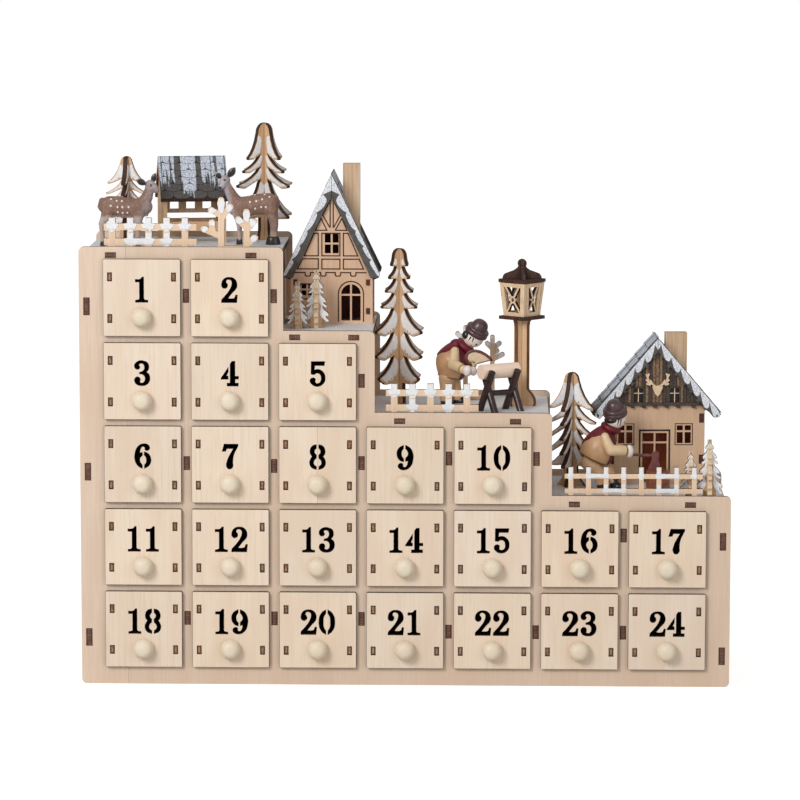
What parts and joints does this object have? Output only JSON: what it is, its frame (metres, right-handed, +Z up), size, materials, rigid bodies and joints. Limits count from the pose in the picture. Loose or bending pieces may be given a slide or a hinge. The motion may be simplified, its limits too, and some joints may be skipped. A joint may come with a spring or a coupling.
{
  "type": "wooden advent calendar",
  "caption": "Stepped plywood advent calendar with numbered sliding drawers under a snowy village of houses, firs, deer and two woodmen",
  "frame": {"origin": "middle of the bounding box, at the level of the table", "axes": "+X to the right as seen from the drawers' side, +Y to the back, +Z up"},
  "size_m": [0.4222, 0.1334, 0.3609],
  "materials": {
    "birch_ply": "sanded, with dark burnt edges",
    "warm_ply": "raw, with dark burnt edges",
    "snow_ply": "sprayed with pale snow",
    "roof_ply": "dark grey stain under snow",
    "stained_ply": "dark stain",
    "stained_wood": "red-brown stain",
    "pale_wood": "raw",
    "birch_block": "raw block",
    "painted_turning": "matt paint on turned wood",
    "painted_deer": "matt paint, brown with pale spots"
  },
  "bodies": {
    "casing": {"front_panel": "birch_ply", "back_panel": "birch_ply", "side_walls": "birch_ply", "bottom_board": "birch_ply", "ledges": "snow_ply", "dividers": "birch_ply", "shelves": "birch_ply", "fir_tree_small": "warm_ply", "fir_tree_broad": "warm_ply", "fir_tree_tall": "warm_ply", "fir_tree_low": "warm_ply", "fence_upper": "birch_ply", "fence_middle": "birch_ply", "fence_lower": "birch_ply", "shrubs": "warm_ply", "small_firs": "snow_ply", "hay_rack": "warm_ply", "hay_rack_roof": "roof_ply", "deer_left": "painted_deer", "deer_right": "painted_deer", "timber_house_walls": "warm_ply", "timber_house_roof": "roof_ply", "chimneys": "birch_block", "cabin_walls": "warm_ply", "cabin_gable": "stained_ply", "cabin_roof": "roof_ply", "cabin_antlers": "pale_wood", "lamp_post": "warm_ply", "lantern": "warm_ply", "sawyer": "painted_turning", "woodcutter": "painted_turning", "bow_saw": "stained_wood", "sawhorse": "stained_wood", "log": "pale_wood", "axe": "stained_wood", "chopping_block": "stained_wood"},
    "drawer_01": {"drawer_01": "birch_ply"},
    "drawer_02": {"drawer_02": "birch_ply"},
    "drawer_03": {"drawer_03": "birch_ply"},
    "drawer_04": {"drawer_04": "birch_ply"},
    "drawer_05": {"drawer_05": "birch_ply"},
    "drawer_06": {"drawer_06": "birch_ply"},
    "drawer_07": {"drawer_07": "birch_ply"},
    "drawer_08": {"drawer_08": "birch_ply"},
    "drawer_09": {"drawer_09": "birch_ply"},
    "drawer_10": {"drawer_10": "birch_ply"},
    "drawer_11": {"drawer_11": "birch_ply"},
    "drawer_12": {"drawer_12": "birch_ply"},
    "drawer_13": {"drawer_13": "birch_ply"},
    "drawer_14": {"drawer_14": "birch_ply"},
    "drawer_15": {"drawer_15": "birch_ply"},
    "drawer_16": {"drawer_16": "birch_ply"},
    "drawer_17": {"drawer_17": "birch_ply"},
    "drawer_18": {"drawer_18": "birch_ply"},
    "drawer_19": {"drawer_19": "birch_ply"},
    "drawer_20": {"drawer_20": "birch_ply"},
    "drawer_21": {"drawer_21": "birch_ply"},
    "drawer_22": {"drawer_22": "birch_ply"},
    "drawer_23": {"drawer_23": "birch_ply"},
    "drawer_24": {"drawer_24": "birch_ply"}
  },
  "joints": [
    {"name": "drawer_01_slide", "type": "slide", "parent": "casing", "child": "drawer_01", "axis": [0, -1, 0], "range_m": [0, 0.09]},
    {"name": "drawer_02_slide", "type": "slide", "parent": "casing", "child": "drawer_02", "axis": [0, -1, 0], "range_m": [0, 0.09]},
    {"name": "drawer_03_slide", "type": "slide", "parent": "casing", "child": "drawer_03", "axis": [0, -1, 0], "range_m": [0, 0.09]},
    {"name": "drawer_04_slide", "type": "slide", "parent": "casing", "child": "drawer_04", "axis": [0, -1, 0], "range_m": [0, 0.09]},
    {"name": "drawer_05_slide", "type": "slide", "parent": "casing", "child": "drawer_05", "axis": [0, -1, 0], "range_m": [0, 0.09]},
    {"name": "drawer_06_slide", "type": "slide", "parent": "casing", "child": "drawer_06", "axis": [0, -1, 0], "range_m": [0, 0.09]},
    {"name": "drawer_07_slide", "type": "slide", "parent": "casing", "child": "drawer_07", "axis": [0, -1, 0], "range_m": [0, 0.09]},
    {"name": "drawer_08_slide", "type": "slide", "parent": "casing", "child": "drawer_08", "axis": [0, -1, 0], "range_m": [0, 0.09]},
    {"name": "drawer_09_slide", "type": "slide", "parent": "casing", "child": "drawer_09", "axis": [0, -1, 0], "range_m": [0, 0.09]},
    {"name": "drawer_10_slide", "type": "slide", "parent": "casing", "child": "drawer_10", "axis": [0, -1, 0], "range_m": [0, 0.09]},
    {"name": "drawer_11_slide", "type": "slide", "parent": "casing", "child": "drawer_11", "axis": [0, -1, 0], "range_m": [0, 0.09]},
    {"name": "drawer_12_slide", "type": "slide", "parent": "casing", "child": "drawer_12", "axis": [0, -1, 0], "range_m": [0, 0.09]},
    {"name": "drawer_13_slide", "type": "slide", "parent": "casing", "child": "drawer_13", "axis": [0, -1, 0], "range_m": [0, 0.09]},
    {"name": "drawer_14_slide", "type": "slide", "parent": "casing", "child": "drawer_14", "axis": [0, -1, 0], "range_m": [0, 0.09]},
    {"name": "drawer_15_slide", "type": "slide", "parent": "casing", "child": "drawer_15", "axis": [0, -1, 0], "range_m": [0, 0.09]},
    {"name": "drawer_16_slide", "type": "slide", "parent": "casing", "child": "drawer_16", "axis": [0, -1, 0], "range_m": [0, 0.09]},
    {"name": "drawer_17_slide", "type": "slide", "parent": "casing", "child": "drawer_17", "axis": [0, -1, 0], "range_m": [0, 0.09]},
    {"name": "drawer_18_slide", "type": "slide", "parent": "casing", "child": "drawer_18", "axis": [0, -1, 0], "range_m": [0, 0.09]},
    {"name": "drawer_19_slide", "type": "slide", "parent": "casing", "child": "drawer_19", "axis": [0, -1, 0], "range_m": [0, 0.09]},
    {"name": "drawer_20_slide", "type": "slide", "parent": "casing", "child": "drawer_20", "axis": [0, -1, 0], "range_m": [0, 0.09]},
    {"name": "drawer_21_slide", "type": "slide", "parent": "casing", "child": "drawer_21", "axis": [0, -1, 0], "range_m": [0, 0.09]},
    {"name": "drawer_22_slide", "type": "slide", "parent": "casing", "child": "drawer_22", "axis": [0, -1, 0], "range_m": [0, 0.09]},
    {"name": "drawer_23_slide", "type": "slide", "parent": "casing", "child": "drawer_23", "axis": [0, -1, 0], "range_m": [0, 0.09]},
    {"name": "drawer_24_slide", "type": "slide", "parent": "casing", "child": "drawer_24", "axis": [0, -1, 0], "range_m": [0, 0.09]}
  ]
}
